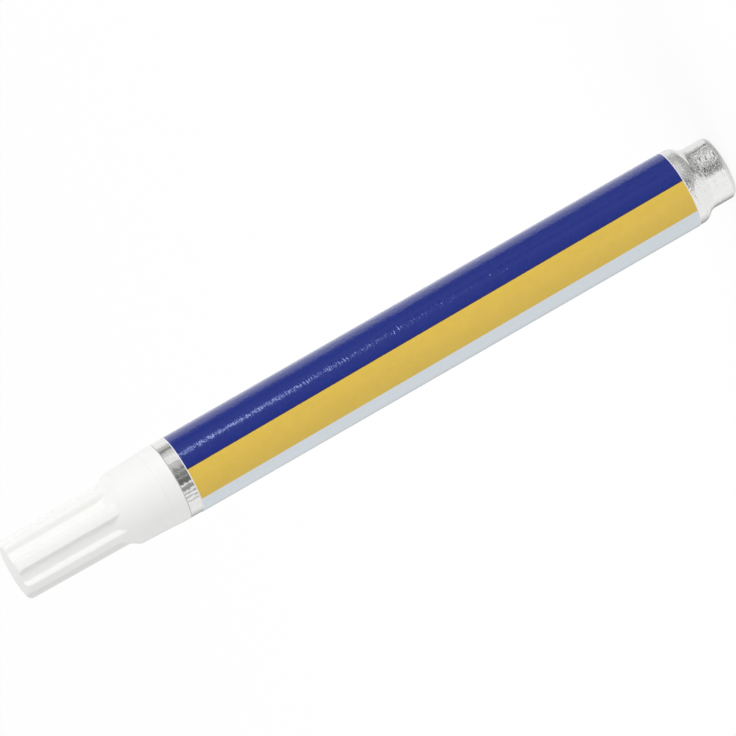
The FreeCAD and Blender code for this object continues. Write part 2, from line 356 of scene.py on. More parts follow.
class Graph:
    """Node tree of one finish, with short calls for the nodes that finishes share."""

    def __init__(self, name: str) -> None:
        """Starts a material whose coordinates are millimetres in the pen's frame.

        Args:
            name: Name of the material.
        """
        self.material = bpy.data.materials.new(name)
        self.material.use_nodes = True
        self.tree = self.material.node_tree
        self.shader = self.tree.nodes["Principled BSDF"]
        place = self.tree.nodes.new("ShaderNodeTexCoord").outputs["Object"]
        self.mm = self.node("VectorMath", {0: place, "Scale": 1 / MM}, operation="SCALE").outputs[0]
        self.x, self.y, self.z = self.node("SeparateXYZ", {0: self.mm}).outputs

    def feed(self, socket: Socket, value: Feed) -> None:
        """Links a socket, or sets it to a constant.

        Args:
            socket: Input to feed.
            value: Output to link, or a constant.
        """
        if isinstance(value, Socket):
            self.tree.links.new(value, socket)
        else:
            socket.default_value = value

    def node(self, kind: str, inputs: dict, **settings: object) -> Node:
        """Adds a shader node.

        Args:
            kind: Node type without its ShaderNode prefix.
            inputs: Socket name or number to a link or constant.
            **settings: Properties of the node.

        Returns:
            The node.
        """
        made = self.tree.nodes.new("ShaderNode" + kind)
        for key, value in settings.items():
            setattr(made, key, value)
        for key, value in inputs.items():
            self.feed(made.inputs[key], value)
        return made

    def math(self, operation: str, a: Feed, b: Feed = 0.0, c: Feed = 0.0) -> Socket:
        """Result of one math node."""
        return self.node("Math", {0: a, 1: b, 2: c}, operation=operation).outputs[0]

    def noise(self, grain: Grain) -> Socket:
        """Noise from 0 to 1.

        Args:
            grain: Make-up of the noise.

        Returns:
            The noise's factor.
        """
        place = self.mm
        if grain.stretch:
            place = self.node("VectorMath", {0: self.mm, 1: grain.stretch}, operation="MULTIPLY").outputs[0]
        return self.node("TexNoise", {
            "Vector": place, "Scale": grain.scale, "Detail": grain.detail,
            "Roughness": grain.rough, "Distortion": grain.twist,
        }).outputs[0]

    def ranged(self, value: Feed, span: Span, to: Span = (0.0, 1.0), smooth: bool = False) -> Socket:
        """Value mapped from one range to another, held at the ends.

        Args:
            value: Value to map.
            span: Its range.
            to: Results at the two ends of its range.
            smooth: Whether the result eases in and out.

        Returns:
            The mapped value.
        """
        kind = "SMOOTHSTEP" if smooth else "LINEAR"
        ends = {0: value, 1: span[0], 2: span[1], 3: to[0], 4: to[1]}
        return self.node("MapRange", ends, interpolation_type=kind).outputs[0]

    def mix(self, share: Feed, a: Feed, b: Feed) -> Socket:
        """Colour between two colours."""
        return self.node("Mix", {0: share, 6: a, 7: b}, data_type="RGBA").outputs[2]

    def bump(self, height: Feed, depth: float, under: Optional[Socket] = None) -> Socket:
        """Normal of a relief.

        Args:
            height: Relief from 0 to 1.
            depth: Depth of the whole relief in millimetres.
            under: Normal that the relief lies on.

        Returns:
            The bumped normal.
        """
        inputs: dict = {"Strength": 1.0, "Distance": depth * MM, "Height": height}
        if under is not None:
            inputs["Normal"] = under
        return self.node("Bump", inputs).outputs[0]

    def relief(self, *grains: Grain) -> Optional[Socket]:
        """Normal of reliefs that lie on each other.

        Args:
            *grains: Noises with their depths, the lowest first.

        Returns:
            The bumped normal.
        """
        normal = None
        for grain in grains:
            normal = self.bump(self.noise(grain), grain.depth, normal)
        return normal

    def around(self) -> Socket:
        """Angle round the axis in degrees, 0 at the front (-Y) and rising towards -X."""
        turn = self.math("ARCTAN2", self.math("MULTIPLY", self.x, -1.0), self.math("MULTIPLY", self.y, -1.0))
        return self.math("MULTIPLY", turn, 180 / math.pi)

    def finish(self, colour: Feed, roughness: Feed, normal: Feed) -> Material:
        """Joins a finish to the shader.

        Args:
            colour: Base colour.
            roughness: Roughness.
            normal: Bumped normal.

        Returns:
            The material.
        """
        self.feed(self.shader.inputs["Base Color"], colour)
        self.feed(self.shader.inputs["Roughness"], roughness)
        self.feed(self.shader.inputs["Normal"], normal)
        return self.material

    def surface(self, shader: Node) -> Material:
        """Puts another shader in the place of the first one.

        Args:
            shader: Node of the new shader.

        Returns:
            The material.
        """
        self.tree.nodes.remove(self.shader)
        self.feed(self.tree.nodes["Material Output"].inputs["Surface"], shader.outputs[0])
        return self.material


@dataclass(frozen=True)
class MouldedPlastic:
    """Moulded polymer: even colour with a faint cloud, a fine tool texture and shallow flow waves.

    Above a given height its colour is scaled a little lighter: painted light on the cap's upper end.
    """

    name: str
    colour: Colour
    cloudy: Colour
    rough: Span
    painted_light_from: float = 1000.0
    painted_light_over: float = 6.0
    painted_light_gain: float = 1.0
    index: float = 1.49
    clouds: Grain = Grain(0.16, 4.0, span=(0.35, 0.7))
    smears: Grain = Grain(0.7, 5.0, 0.65, (1.0, 1.0, 0.5))
    waves: Grain = Grain(0.32, 1.0, 0.4, (1.0, 1.0, 0.45), depth=0.012)
    tool: Grain = Grain(9.0, 2.0, 0.6, depth=0.0012)

    def make(self) -> Material:
        """Builds the finish.

        Returns:
            The material.
        """
        graph = Graph(self.name)
        cloud = graph.ranged(graph.noise(self.clouds), self.clouds.span)
        colour = graph.mix(cloud, self.colour, self.cloudy)
        # Painted light: above the given height the colour is scaled lighter.
        painted_light_span = (self.painted_light_from, self.painted_light_from + self.painted_light_over)
        gain = graph.ranged(graph.z, painted_light_span, (1.0, self.painted_light_gain), smooth=True)
        colour = graph.node("VectorMath", {0: colour, "Scale": gain}, operation="SCALE").outputs[0]
        rough = graph.ranged(graph.noise(self.smears), self.smears.span, self.rough)
        graph.shader.inputs["IOR"].default_value = self.index
        return graph.finish(colour, rough, graph.relief(self.waves, self.tool))


@dataclass(frozen=True)
class DrawnAluminium:
    """Bright drawn tube: lengthwise die lines, and rough round marks and pits where the tail is swaged."""

    name: str
    colour: Colour
    dull: Colour
    rough: Span = (0.07, 0.13)
    rim: Span = (1.1, 0.6)
    rim_rough: float = 0.45
    swage_starts: Span = (6.2, 7.0)
    swage_ends: Span = (12.0, 16.0)
    swage_rough: float = 0.05
    marks_fade: Span = (6.9, 9.5)
    marks_left: float = 0.4
    die_lines: Grain = Grain(2.6, 3.0, 0.6, (1.0, 1.0, 0.012), span=(0.3, 0.75), depth=0.004)
    hairs: Grain = Grain(9.0, 2.0, 0.5, (1.0, 1.0, 0.03), span=(0.4, 0.75), depth=0.0008)
    marks: Grain = Grain(1.25, 2.0, 0.5, (0.4, 0.4, 1.0), 0.3, depth=0.13)
    pits: Grain = Grain(4.0, 1.0, depth=0.06)

    def make(self) -> Material:
        """Builds the finish.

        Returns:
            The material.
        """
        graph = Graph(self.name)
        lines, hairs = graph.noise(self.die_lines), graph.noise(self.hairs)
        colour = graph.mix(graph.ranged(hairs, self.hairs.span), self.colour, self.dull)
        rim = graph.ranged(graph.z, self.rim, (0.0, self.rim_rough), smooth=True)
        swage = graph.math("MULTIPLY", graph.ranged(graph.z, self.swage_starts),
                           graph.ranged(graph.z, self.swage_ends, (1.0, 0.0)))
        worn = graph.math("MULTIPLY_ADD", swage, self.swage_rough, rim)
        rough = graph.math("ADD", graph.ranged(lines, self.die_lines.span, self.rough), worn)
        left = graph.ranged(graph.z, self.marks_fade, (1.0, self.marks_left), smooth=True)
        marks = graph.math("MULTIPLY", graph.noise(self.marks), left)
        pits = graph.math("MULTIPLY", graph.noise(self.pits), swage)
        normal = graph.bump(lines, self.die_lines.depth, graph.bump(hairs, self.hairs.depth))
        normal = graph.bump(pits, self.pits.depth, graph.bump(marks, self.marks.depth, normal))
        graph.shader.inputs["Metallic"].default_value = 1.0
        return graph.finish(colour, rough, normal)


@dataclass(frozen=True)
class PrintedFilm:
    """Gloss wrap printed in three lengthwise bands that lean a little round the barrel.

    Band edges are angles round the barrel in degrees. A dark trap line lies where blue meets gold, and
    specks of dust under the film gather in loose fields.
    """

    name: str
    blue: Colour
    gold: Colour
    pale: Colour
    edge: Colour
    trap: Colour
    blue_to: float = -8.2
    blue_soft: float = 0.25
    blue_shade: float = 0.93
    gold_to: float = 41.0
    gold_soft: float = 0.4
    gold_shade: float = 0.96
    lean: float = 0.0545
    ragged: float = 0.25
    trap_inset: float = 0.3
    trap_width: Span = (0.35, 0.9)
    trap_share: float = 0.85
    edge_width: Span = (0.1, 0.2)
    rough: Span = (0.13, 0.17)
    index: float = 1.5
    gloss: float = 0.3
    wander: Grain = Grain(3.0, 2.0)
    tones: Grain = Grain(0.5, 4.0, 0.6)
    scuffs: Grain = Grain(2.2, 4.0, 0.6, (1.0, 1.0, 0.2), span=(0.35, 0.8))
    sag: Grain = Grain(0.22, 2.0, depth=0.03)
    ripples: Grain = Grain(1.0, 1.0, 0.5, (0.9, 0.9, 3.0), depth=0.044)
    wrinkles: Grain = Grain(1.1, 2.0, 0.5, (1.0, 1.0, 0.6), 0.5, depth=0.028)
    speck_fields: Grain = Grain(0.12, 1.0, span=(0.5, 0.56))
    speck_shift: Place = (3.1, 1.7, 0.4)
    speck_scale: float = 0.42
    speck_size: Span = (0.06, 0.2)
    speck_depth: float = 0.035

    def ink(self, graph: Graph) -> Socket:
        """Prints the bands, the trap line and the film's pale cut edges.

        Args:
            graph: Node tree of the film.

        Returns:
            The colour.
        """
        rise = graph.math("SUBTRACT", graph.z, WRAP_LOW)
        turn = graph.math("SUBTRACT", graph.around(), graph.math("MULTIPLY", rise, self.lean))
        wander = graph.ranged(graph.noise(self.wander), (0.0, 1.0), (-self.ragged, self.ragged))
        turn = graph.math("ADD", turn, wander)
        tone = graph.ranged(graph.noise(self.tones), self.tones.span)
        blue = graph.mix(tone, self.blue, darker(self.blue, self.blue_shade))
        gold = graph.mix(tone, self.gold, darker(self.gold, self.gold_shade))
        colour = graph.mix(graph.ranged(turn, about(self.blue_to, self.blue_soft)), blue, gold)
        off = graph.math("ABSOLUTE", graph.math("SUBTRACT", turn, self.blue_to - self.trap_inset))
        colour = graph.mix(graph.ranged(off, self.trap_width, (self.trap_share, 0.0)), colour, self.trap)
        colour = graph.mix(graph.ranged(turn, about(self.gold_to, self.gold_soft)), colour, self.pale)
        into = graph.math("MINIMUM", rise, graph.math("SUBTRACT", WRAP_HIGH, graph.z))
        return graph.mix(graph.ranged(into, self.edge_width, (1.0, 0.0)), colour, self.edge)

    def make(self) -> Material:
        """Builds the finish.

        Returns:
            The material.
        """
        graph = Graph(self.name)
        rough = graph.ranged(graph.noise(self.scuffs), self.scuffs.span, self.rough)
        place = graph.node("VectorMath", {0: graph.mm, 1: self.speck_shift}, operation="ADD").outputs[0]
        away = graph.node("TexVoronoi", {"Vector": place, "Scale": self.speck_scale}).outputs["Distance"]
        dots = graph.ranged(away, self.speck_size, (1.0, 0.0), smooth=True)
        fields = graph.ranged(graph.noise(self.speck_fields), self.speck_fields.span)
        specks = graph.math("MULTIPLY", dots, fields)
        normal = graph.bump(specks, self.speck_depth, graph.relief(self.sag, self.ripples, self.wrinkles))
        graph.shader.inputs["IOR"].default_value = self.index
        graph.shader.inputs["Specular IOR Level"].default_value = self.gloss
        return graph.finish(self.ink(graph), rough, normal)


@dataclass(frozen=True)
class PressedFibre:
    """Bonded fibre rod: fine lengthwise strands with open pores."""

    name: str
    colour: Colour
    shade: Colour
    rough: Span = (0.78, 0.95)
    strands: Grain = Grain(7.0, 4.0, 0.6, (1.0, 1.0, 0.12), 0.4, (0.35, 0.65), 0.05)
    pores: Grain = Grain(4.0, 3.0, 0.6, (1.0, 1.0, 0.5), depth=0.03)

    def make(self) -> Material:
        """Builds the finish.

        Returns:
            The material.
        """
        graph = Graph(self.name)
        strands, pores = graph.noise(self.strands), graph.noise(self.pores)
        colour = graph.mix(graph.ranged(strands, self.strands.span), self.shade, self.colour)
        rough = graph.ranged(pores, self.pores.span, self.rough)
        normal = graph.bump(strands, self.strands.depth, graph.bump(pores, self.pores.depth))
        return graph.finish(colour, rough, normal)


@dataclass(frozen=True)
class SealRubber:
    """Solvent-proof rubber: dark, matt, with a bloom of fine dust."""

    name: str
    colour: Colour
    bloom: Colour
    rough: Span = (0.6, 0.8)
    dust: Grain = Grain(2.5, 5.0, 0.65)
    bloom_span: Span = (0.45, 0.8)
    skin: Grain = Grain(12.0, 2.0, depth=0.006)

    def make(self) -> Material:
        """Builds the finish.

        Returns:
            The material.
        """
        graph = Graph(self.name)
        dust = graph.noise(self.dust)
        colour = graph.mix(graph.ranged(dust, self.bloom_span), self.colour, self.bloom)
        return graph.finish(colour, graph.ranged(dust, self.dust.span, self.rough), graph.relief(self.skin))


@dataclass(frozen=True)
class SpringWire:
    """Drawn stainless wire: fine draw marks and a faint temper tint."""

    name: str
    colour: Colour
    tint: Colour
    rough: Span = (0.2, 0.36)
    tints: Grain = Grain(0.8, span=(0.4, 0.75))
    marks: Grain = Grain(14.0, 3.0, 0.6, (0.25, 0.25, 1.0), depth=0.004)

    def make(self) -> Material:
        """Builds the finish.

        Returns:
            The material.
        """
        graph = Graph(self.name)
        marks = graph.noise(self.marks)
        colour = graph.mix(graph.ranged(graph.noise(self.tints), self.tints.span), self.colour, self.tint)
        graph.shader.inputs["Metallic"].default_value = 1.0
        rough = graph.ranged(marks, self.marks.span, self.rough)
        return graph.finish(colour, rough, graph.bump(marks, self.marks.depth))


# The cap's colour is painted lighter towards its end: painted light.
WHITE_CAP = MouldedPlastic("cap_polypropylene", colour=(0.90, 0.90, 0.885, 1),
                           cloudy=(0.885, 0.885, 0.865, 1), rough=(0.30, 0.42),
                           painted_light_from=123.0, painted_light_gain=1.02)
WHITE_NOZZLE = MouldedPlastic("nozzle_polypropylene", colour=(0.88, 0.88, 0.86, 1),
                              cloudy=(0.86, 0.86, 0.835, 1), rough=(0.36, 0.5))
VALVE_ACETAL = MouldedPlastic("valve_acetal", colour=(0.80, 0.81, 0.80, 1), cloudy=(0.77, 0.78, 0.77, 1),
                              rough=(0.3, 0.45), tool=Grain(9.0, 2.0, 0.6, depth=0.0008))
BRIGHT_TUBE = DrawnAluminium("barrel_drawn", colour=(0.90, 0.90, 0.89, 1), dull=(0.80, 0.80, 0.79, 1))
BAND_FILM = PrintedFilm("wrap_print", blue=rgb(29, 45, 129), gold=rgb(225, 191, 83), pale=rgb(222, 230, 236),
                        edge=rgb(240, 240, 246), trap=rgb(52, 34, 56))
NIB_FIBRE = PressedFibre("nib_polyester", colour=(0.88, 0.86, 0.80, 1), shade=(0.70, 0.67, 0.60, 1))
WASHER_RUBBER = SealRubber("washer_rubber", colour=(0.03, 0.03, 0.032, 1), bloom=(0.07, 0.07, 0.072, 1))
STEEL_WIRE = SpringWire("spring_stainless", colour=(0.62, 0.61, 0.60, 1), tint=(0.56, 0.53, 0.48, 1))


def settle(piece: Object, finish: Material, body: Body, slot: Slot, *nodes: str) -> Object:
    """Gives a piece its finish and its place in the pen.

    Args:
        piece: Piece in the pen's frame.
        finish: Material of the whole piece.
        body: Body that it rides on.
        slot: Record slot of its finish; not used.
        *nodes: CAD nodes that it stands for.

    Returns:
        The same piece.
    """
    piece.data.materials.append(finish)
    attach(piece, body.value)
    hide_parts(*nodes)
    return piece


# Sub-assemblies


def ridge(root: float, top: float, low: float, high: float) -> Corners:
    """Corners of a raised ring with sloped sides.

    Args:
        root: Radius of the surface that it stands on.
        top: Radius of the ring.
        low: Start of its top, in millimetres.
        high: End of its top, in millimetres.

    Returns:
        Corners in rising order.
    """
    return ((root, low - RIDGE_SLOPE, RIDGE_FOOT), (top, low, RIDGE_CROWN),
            (top, high, RIDGE_CROWN), (root, high + RIDGE_SLOPE, RIDGE_FOOT))


@dataclass
class Cap:
    """Push-on cap: tapered skirt, sloping shoulder and a grip with seven straight ribs."""

    skirt: Corners = (
        (7.05, 114.83, 0), (7.45, 114.83, 0.15),  # mouth
        (7.33, 117.8, 0.02), (7.235, 117.87, 0.02), (7.265, 117.98, 0.03),  # rim line
        (7.05, 124.7, 1.0),  # shoulder
        (4.77, 128.3, 1.6), (4.77, 129.9, 0),  # neck
        (4.4, 131.6, 0), (4.4, 147.0, 0),  # core under the ribs
    )
    bore: Corners = (
        (7.05, 114.83, 0), (6.65, 114.83, 0.05),  # mouth
        (6.35, 115.2, 0.05), (6.35, 123.7, 0.3),  # space for the collar
        (4.3, 125.7, 0.3), (4.3, 127.9, 0.05),  # space for the snout
        (4.2, 128.0, 0.05), (4.2, 129.2, 0.05), (4.3, 129.3, 0.05),  # snap ring
        (4.3, 145.4, 0.3), (0, 145.4, 0),  # closed end
    )
    end_z: float = 147.0
    end_round: float = 0.9
    end_blend: float = 0.16
    ribs: int = 7
    first_rib: float = 273.2
    crest: float = 14.8
    flank: float = 9.2
    depth: float = 1.0
    hollow: float = 0.08
    fillet: float = 0.28
    crest_root: Point = (6.05, 122.8)
    crest_end_r: float = 5.84
    segments: int = 420
    fine_from: float = 123.5
    fine_step: float = 0.08
    fine_rings: int = 82
    grip_span: Span = (130.1, 145.9)
    grip_rings: int = 10
    round_rings: int = 16

    def rib_drop(self, angle: float) -> float:
        """How far the grip lies below its crests at an angle.

        Args:
            angle: Angle round the axis in radians.

        Returns:
            Depth in millimetres.
        """
        pitch = 360 / self.ribs
        off = abs((math.degrees(angle) - self.first_rib + pitch / 2) % pitch - pitch / 2)
        foot = self.crest / 2 + self.flank
        inward = (pitch / 2 - off) / (pitch / 2 - foot)
        fall = self.depth * smoothstep((off - self.crest / 2) / self.flank)
        return fall + self.hollow * max(0.0, 1 - inward ** 2)

    def crest_r(self, height: float) -> float:
        """Radius of the rib crests at a height in millimetres."""
        root_r, root_z = self.crest_root
        return root_r + (self.crest_end_r - root_r) * (height - root_z) / (self.end_z - root_z)

    def grip_r(self, angle: float, plain: float, crest: float, limit: float) -> float:
        """Radius of the grip at an angle in radians, from the radii of core, crests and end round."""
        ribbed = soft_max(plain, crest - self.rib_drop(angle), self.fillet)
        return ribbed if math.isinf(limit) else soft_min(ribbed, limit, self.end_blend)

    def levels(self) -> list[Point]:
        """Heights of the rings from the shoulder to the end.

        Returns:
            Heights in millimetres, each with the radius of the end's round, infinite below it.
        """
        made = [(self.fine_from + self.fine_step * i, math.inf) for i in range(self.fine_rings)]
        low, high = self.grip_span
        made += [(low + (high - low) * i / self.grip_rings, math.inf) for i in range(self.grip_rings + 1)]
        flat = self.crest_end_r - self.end_round
        for i in range(self.round_rings + 1):
            angle = math.radians(90 * i / self.round_rings)
            height = self.end_z - self.end_round + self.end_round * math.sin(angle)
            made.append((height, flat + self.end_round * math.cos(angle)))
        return made

    def build(self) -> list[Object]:
        """Builds and dresses the cap.

        Returns:
            The cap.
        """
        section = Outline(self.skirt).points()
        rings = [round_ring(r, z, self.segments) for r, z in section if z < self.fine_from]
        for height, limit in self.levels():
            plain, crest = radius_on(section, height), self.crest_r(height)
            reach = partial(self.grip_r, plain=plain, crest=crest, limit=limit)
            rings.append(ring_at(reach, height, self.segments))
        rings.append(round_ring(0.0, self.end_z, self.segments))
        # The skirt's first ring is the bore's too.
        inside = [round_ring(r, z, self.segments) for r, z in Outline(self.bore).points()[1:]]
        cap = skin("cap_moulding", inside[::-1] + rings)
        return [settle(cap, WHITE_CAP.make(), Body.CAP, Slot.CAP, "cap")]


@dataclass
class Barrel:
    """Drawn aluminium tube with a swaged, closed tail."""

    corners: Corners = (
        (0, 0, 0), (6.0, 0, 1.0),  # flat tail
        (6.0, 5.4, 2.3), (7.4, 6.8, 2.3),  # swage from the stub to the tube
        (7.4, BARREL_TOP, 0.1), (6.95, BARREL_TOP, 0.05),  # front edge
        (6.95, 7.025, 1.9), (5.4, 5.625, 1.9),  # inside of the swage
        (5.4, 0.8, 0.5), (0, 0.8, 0),  # inside of the tail
    )
    arc_step: float = 5.0
    segments: int = 288

    def build(self) -> list[Object]:
        """Builds and dresses the tube."""
        tube = turned("barrel_tube", Outline(self.corners, arc_step=self.arc_step), self.segments)
        return [settle(tube, BRIGHT_TUBE.make(), Body.BARREL, Slot.BARREL, "barrel")]


@dataclass
class Wrap:
    """Printed film round the barrel, its ends meeting in a narrow seam at the back.

    A hem of narrow faces at both cut edges keeps the shading between them straight.
    """

    inner: float = 7.41
    outer: float = 7.5
    seam: float = 0.3
    hem: float = 0.2
    outer_round: float = 0.03
    inner_round: float = 0.01
    columns: int = 288
    crease: float = 40.0

    def section(self) -> list[Point]:
        """Closed section of the film, with softened cut edges.

        Returns:
            (radius, height) points in millimetres.
        """
        return Outline((
            (self.outer, WRAP_LOW, self.outer_round),
            (self.outer, WRAP_LOW + self.hem, 0),
            (self.outer, WRAP_HIGH - self.hem, 0),
            (self.outer, WRAP_HIGH, self.outer_round),
            (self.inner, WRAP_HIGH, self.inner_round),
            (self.inner, WRAP_LOW, self.inner_round),
        ), closed=True, arc_step=30.0).points()

    def build(self) -> list[Object]:
        """Builds and dresses the film.

        Returns:
            The film.
        """
        section = self.section()
        gap = math.asin(self.seam / 2 / self.outer)
        columns: list[Ring] = []
        for i in range(self.columns + 1):
            angle = math.pi / 2 + gap + (2 * math.pi - 2 * gap) * i / self.columns
            x, y = MM * math.cos(angle), MM * math.sin(angle)
            columns.append([(r * x, r * y, z * MM) for r, z in section])
        film = swept("wrap_film", columns, self.crease)
        return [settle(film, BAND_FILM.make(), Body.BARREL, Slot.WRAP, "label")]


@dataclass
class NibHolder:
    """White plug with the collar that the cap grips, and the snout round the nib."""

    corners: Corners = (
        (5.2, 101.8, 0.03), (6.1, 101.8, 0.08), (6.7, 102.4, 0.15),  # rear edge
        *ridge(6.7, 6.94, 103.3, 104.5), *ridge(6.7, 6.94, 107.8, 109.0),  # press ribs
        (6.7, 112.8, 0.08), (6.94, 112.8, 0.05), (6.94, BARREL_TOP, 0.2),  # flange
        (6.0, BARREL_TOP, 0.15), *ridge(6.0, 6.3, 115.8, 117.0),  # collar and grip ribs
        *ridge(6.0, 6.3, 120.3, 121.5), (6.0, 122.7, 0.4),
        (3.85, 124.7, 0.5), *ridge(3.85, 4.15, 128.0, 129.2),  # snout and snap rib
        (3.85, 131.3, 0.6), (3.0, 134.3, 0.3),
        (2.05, 134.3, 0.12), (2.05, 121.3, 0.05),  # bore for the nib
        (3.2, 121.3, 0.05), (3.2, 111.8, 0.2),  # well behind the nib
        (1.6, 111.8, 0.1), (1.6, 109.9, 0.1),  # bore for the plunger
        (2.2, 109.9, 0.1), (2.2, 110.3, 0.05),  # seat for the washer
        (4.6, 110.3, 0.4), (4.6, 104.0, 0.05),  # chamber for the spring
        (5.2, 104.0, 0.05), (5.2, 102.5, 0.05), (5.0, 102.15, 0.05),  # bore for the cage, and its catch
    )
    arc_step: float = 15.0
    segments: int = 192

    def build(self) -> list[Object]:
        """Builds and dresses the holder."""
        holder = turned("nozzle_moulding", Outline(self.corners, True, self.arc_step), self.segments)
        return [settle(holder, WHITE_NOZZLE.make(), Body.BARREL, Slot.NOZZLE, "nozzle")]


@dataclass
class Nib:
    """Bullet-pointed fibre nib."""

    corners: Corners = (
        (0, 118.8, 0), (2.0, 118.8, 0.4),  # flat rear
        (2.0, 136.5, 1.2), (0.9, 138.9, 0.7), (0, 138.9, 0),  # bullet point
    )
    arc_step: float = 6.0
    segments: int = 128

    def build(self) -> list[Object]:
        """Builds and dresses the nib."""
        nib = turned("nib_rod", Outline(self.corners, arc_step=self.arc_step), self.segments)
        return [settle(nib, NIB_FIBRE.make(), Body.TIP, Slot.NIB, "nib")]


@dataclass
class TipValve:
    """Sprung valve behind the nib: plunger, washer, cage and coil."""

    floor_z: float = 98.52
    head_z: float = 107.76
    cage_floor: float = 98.5
    stroke: float = 2.0
    mean_r: float = 2.2
    wire_r: float = 0.2
    turns: int = 7
    dead_turns: float = 0.8
    dead_pitch: float = 1.08
    turn_steps: int = 56
    wire_sides: int = 14
    slope_step: float = 0.01
    crease: float = 50.0

    def rise(self, turn: float) -> float:
        """Height of the wire's centre after some turns, with the end coils closed up.

        Args:
            turn: Turns from the lower end.

        Returns:
            Height in millimetres.
        """
        low, high = self.floor_z + self.wire_r, self.head_z - self.wire_r
        dead, step = self.dead_turns, 2 * self.wire_r * self.dead_pitch
        live = (high - low - 2 * dead * step) / (self.turns - 2 * dead)
        if turn < dead:
            return low + turn * step
        if turn > self.turns - dead:
            return high - (self.turns - turn) * step
        return low + dead * step + (turn - dead) * live

    def wire_at(self, turn: float) -> Ring:
        """Section of the wire after some turns, square to its run.

        Args:
            turn: Turns from the lower end.

        Returns:
            Places in metres.
        """
        angle = 2 * math.pi * turn
        ahead = self.rise(min(self.turns, turn + self.slope_step))
        behind = self.rise(max(0.0, turn - self.slope_step))
        climb = (ahead - behind) / (2 * self.slope_step) / (2 * math.pi * self.mean_r)
        out = Vector((math.cos(angle), math.sin(angle), 0))
        along = Vector((-math.sin(angle), math.cos(angle), climb)).normalized()
        up = along.cross(out) * -1
        centre = out * self.mean_r + Vector((0, 0, self.rise(turn)))
        made: Ring = []
        for k in range(self.wire_sides):
            side = 2 * math.pi * k / self.wire_sides
            made.append(tuple((centre + (out * math.cos(side) + up * math.sin(side)) * self.wire_r) * MM))
        return made

    def build(self) -> list[Object]:
        """Builds the coil and dresses the plunger, cage and washer.

        Returns:
            The four pieces.
        """
        sections = [self.wire_at(i / self.turn_steps) for i in range(self.turns * self.turn_steps + 1)]
        coil = swept("spring_coil", sections, self.crease)
        settle(coil, STEEL_WIRE.make(), Body.BARREL, Slot.SPRING, "valve_spring")
        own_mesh(coil)
        acetal = VALVE_ACETAL.make()
        finishes = {"valve_stem": acetal, "valve_cage": acetal, "valve_seal": WASHER_RUBBER.make()}
        for node, finish in finishes.items():
            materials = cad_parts[node].data.materials
            materials.clear()
            materials.append(finish)
        return [coil, *(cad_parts[node] for node in finishes)]


# Studio


class Job(Enum):
    """What a lamp is for."""

    LIGHT = "shines on the pen and stays out of its gloss"
    GLOSS = "shows in the pen's gloss alone"


@dataclass(frozen=True)
class Lamp:
    """Rectangular lamp beside the pen, in metres, that faces a height on the pen's axis.

    Its angle is 0 at the front (-Y) and rises towards -X. If pieces are named, it lights only those.
    """

    name: str
    job: Job
    angle: float
    reach: float
    height: float
    size: Span
    power: float
    aim: float = VIEW_Z
    pieces: tuple[str, ...] = ()
    tint: Place = (1.0, 1.0, 1.0)

    def place(self) -> None:
        """Sets the lamp up."""
        data = bpy.data.lights.new(self.name, "AREA")
        data.shape = "RECTANGLE"
        data.size, data.size_y = self.size
        data.energy = self.power
        data.color = self.tint
        lamp = bpy.data.objects.new(self.name, data)
        bpy.context.scene.collection.objects.link(lamp)
        turn = math.radians(self.angle)
        place = Vector((-math.sin(turn) * self.reach, -math.cos(turn) * self.reach, self.height))
        lamp.location = place
        lamp.rotation_euler = (Vector((0, 0, self.aim)) - place).to_track_quat("-Z", "Y").to_euler()
        lamp.visible_camera = False
        if self.job is Job.GLOSS:
            lamp.visible_diffuse = lamp.visible_transmission = lamp.visible_volume_scatter = False
        else:
            lamp.visible_glossy = False
        if self.pieces:
            lit = bpy.data.collections.new(self.name + "_lit")
            for piece in self.pieces:
                lit.objects.link(bpy.data.objects[piece])
            lamp.light_linking.receiver_collection = lit


class Reflection(Enum):
    """Brightness round the pen that gloss shows, as (angle, level) stops in degrees."""

    HIGH = (
        (-180, 0.95), (-118, 0.95), (-94, 0.33), (-86, 0.33), (-62, 0.94), (-48, 0.94), (-30, 0.38),
        (-10, 0.2), (10, 0.15), (23, 0.15), (26, 0.9), (29.5, 0.9), (31, 0.3), (44, 0.34), (46, 0.92),
        (51, 0.92), (52, 0.35), (55, 0.35), (56, 0.92), (62, 0.92), (63, 0.4), (67, 0.4), (68, 0.92),
        (76, 0.92), (77, 0.55), (80, 0.55), (81, 0.9), (125, 0.88), (140, 0.7), (160, 0.4), (180, 0.4),
    )
    LOW = (
        (-180, 0.92), (-116, 0.9), (-96, 0.35), (-84, 0.35), (-66, 0.86), (-46, 0.92), (-28, 0.66),
        (-10, 0.5), (8, 0.42), (13, 0.42), (15.5, 0.96), (110, 0.96), (124, 0.85), (138, 0.6),
        (155, 0.35), (180, 0.35),
    )
    FOOT = (
        (-180, 0.9), (-142, 0.86), (-124, 0.64), (-110, 0.26), (-70, 0.26), (-56, 0.3), (-40, 0.32),
        (-26, 0.34), (-14, 0.42), (-4, 0.52), (4, 0.92), (150, 0.92), (180, 0.7),
    )


